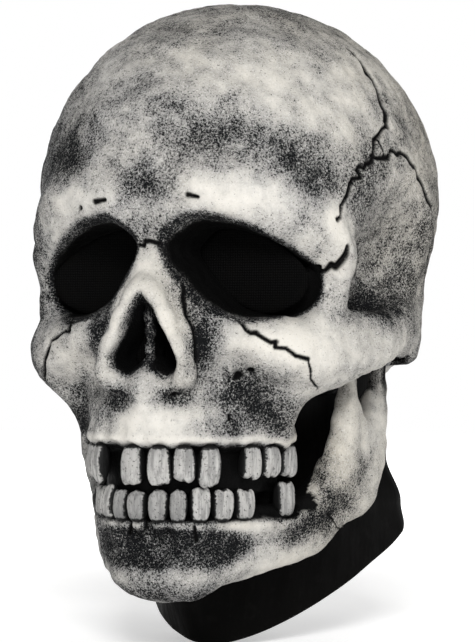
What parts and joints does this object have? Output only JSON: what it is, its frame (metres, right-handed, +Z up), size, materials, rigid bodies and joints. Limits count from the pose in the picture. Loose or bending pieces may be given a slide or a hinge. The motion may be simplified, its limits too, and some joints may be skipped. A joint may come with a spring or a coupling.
{
  "type": "skull mask",
  "caption": "Full-head latex skull mask with hollow sockets, gapped teeth, a hinged lower jaw and a black latex neck with a slanted open rim.",
  "frame": {"origin": "midway between the wearer's two ear openings, where the head is held; the jaw's axis is 13 mm below it", "axes": "+Z up through the crown, the face looks along -Y, and +X is the mask's own left side; the mask is symmetric in X except for its lost teeth"},
  "size_m": [0.1798, 0.2201, 0.2936],
  "materials": {
    "bone_latex": "matt bone-white latex with black airbrushed speckle and dark recesses",
    "tooth_latex": "satin off-white latex, brushed streaks, black at the gum",
    "black_latex": "smooth, slightly glossy black latex",
    "gauze": "fine black see-through gauze",
    "rivet_plastic": "matt black nylon",
    "foam": "dark grey open-cell foam"
  },
  "bodies": {
    "skull": {"skull_shell": "bone_latex", "neck_hood": "black_latex", "left_eye_gauze": "gauze", "right_eye_gauze": "gauze", "nose_gauze": "gauze", "left_jaw_rivet": "rivet_plastic", "right_jaw_rivet": "rivet_plastic", "brow_pad": "foam", "crown_pad": "foam", "nape_pad": "foam", "upper_left_central": "tooth_latex", "upper_left_lateral": "tooth_latex", "upper_left_canine": "tooth_latex", "upper_left_premolar_2": "tooth_latex", "upper_left_molar_1": "tooth_latex", "upper_left_molar_2": "tooth_latex", "upper_right_central": "tooth_latex", "upper_right_canine": "tooth_latex", "upper_right_premolar_1": "tooth_latex", "upper_right_premolar_2": "tooth_latex", "upper_right_molar_1": "tooth_latex"},
    "jaw": {"jaw_shell": "bone_latex", "lower_left_central": "tooth_latex", "lower_left_lateral": "tooth_latex", "lower_left_canine": "tooth_latex", "lower_left_premolar_1": "tooth_latex", "lower_left_premolar_2": "tooth_latex", "lower_left_molar_2": "tooth_latex", "lower_right_central": "tooth_latex", "lower_right_lateral": "tooth_latex", "lower_right_canine": "tooth_latex", "lower_right_premolar_1": "tooth_latex", "lower_right_premolar_2": "tooth_latex", "lower_right_molar_1": "tooth_latex"}
  },
  "joints": [
    {"name": "jaw_hinge", "type": "hinge", "parent": "skull", "child": "jaw", "pos_m": [0, 0, -0.013], "axis": [1, 0, 0], "range_deg": [0, 8], "stiffness_Nm_per_rad": 0.6, "springref_deg": -14.32}
  ]
}
